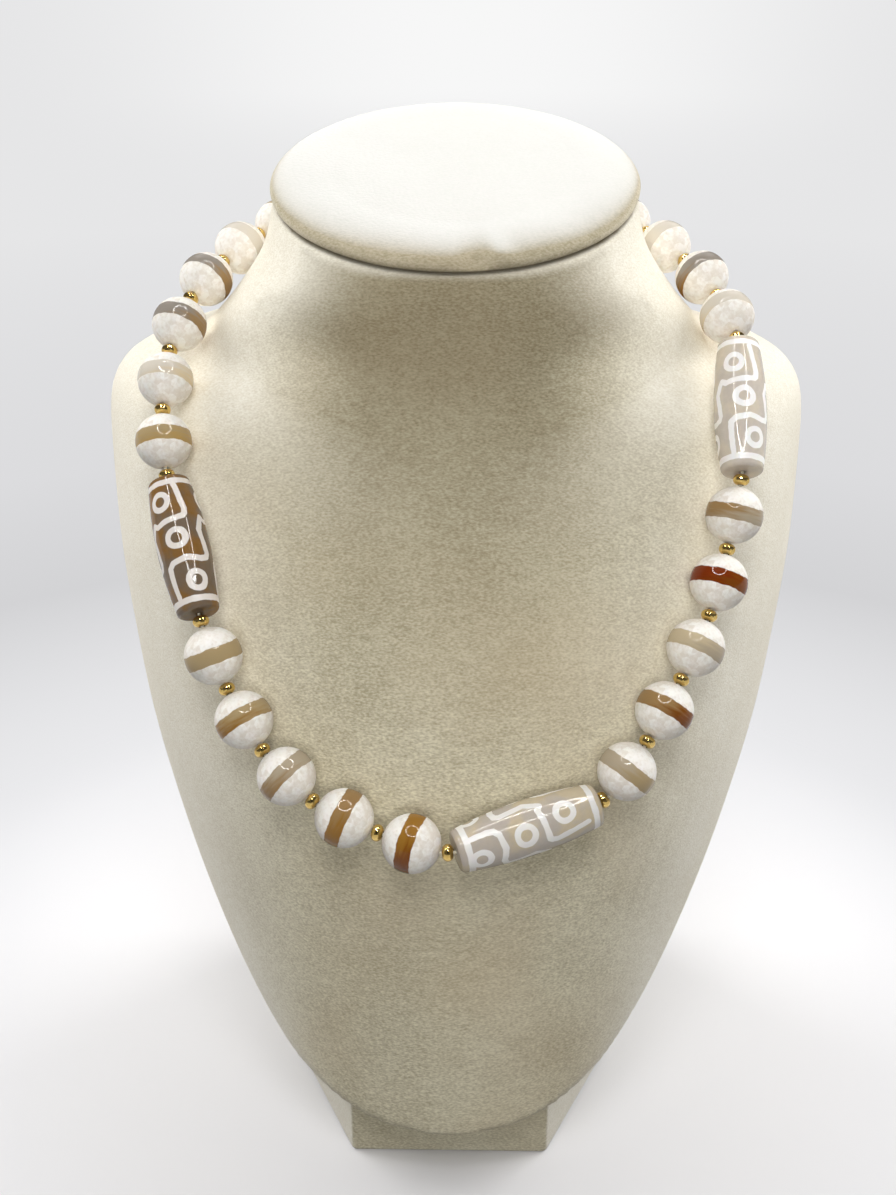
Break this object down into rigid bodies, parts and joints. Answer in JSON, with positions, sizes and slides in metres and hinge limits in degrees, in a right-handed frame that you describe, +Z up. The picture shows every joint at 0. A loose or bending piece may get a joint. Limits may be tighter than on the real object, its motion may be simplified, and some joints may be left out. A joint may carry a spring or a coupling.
{
  "type": "dzi bead necklace on a neck display bust",
  "caption": "Necklace of round and long barrel-shaped dzi beads with small gold spacers and a barrel clasp, fastened round a velvet neck display bust that stands on a foot.",
  "frame": {"origin": "on the floor under the middle of the bounding box", "axes": "+X to the right of the person looking at the chest, +Y from the chest to the back, +Z up"},
  "size_m": [0.1942, 0.1658, 0.2642],
  "materials": {
    "round_agate": "matte white crackled coat with a polished translucent agate band",
    "tube_agate": "polished translucent agate with white etched lines",
    "gold": "polished gold plating",
    "thread": "plain cream cord",
    "velvet": "cream short-pile velvet"
  },
  "bodies": {
    "root": {"round_bead_01": "round_agate", "round_bead_02": "round_agate", "round_bead_03": "round_agate", "round_bead_04": "round_agate", "round_bead_05": "round_agate", "round_bead_06": "round_agate", "round_bead_07": "round_agate", "round_bead_08": "round_agate", "round_bead_09": "round_agate", "round_bead_10": "round_agate", "round_bead_11": "round_agate", "round_bead_12": "round_agate", "round_bead_13": "round_agate", "round_bead_14": "round_agate", "round_bead_15": "round_agate", "round_bead_16": "round_agate", "round_bead_17": "round_agate", "round_bead_18": "round_agate", "round_bead_19": "round_agate", "round_bead_20": "round_agate", "round_bead_21": "round_agate", "round_bead_22": "round_agate", "round_bead_23": "round_agate", "round_bead_24": "round_agate", "round_bead_25": "round_agate", "tube_bead_left": "tube_agate", "tube_bead_front": "tube_agate", "tube_bead_right": "tube_agate", "spacer_beads": "gold", "clasp": "gold", "thread": "thread", "bust_form": "velvet", "neck_cap": "velvet", "foot": "velvet"}
  },
  "joints": []
}
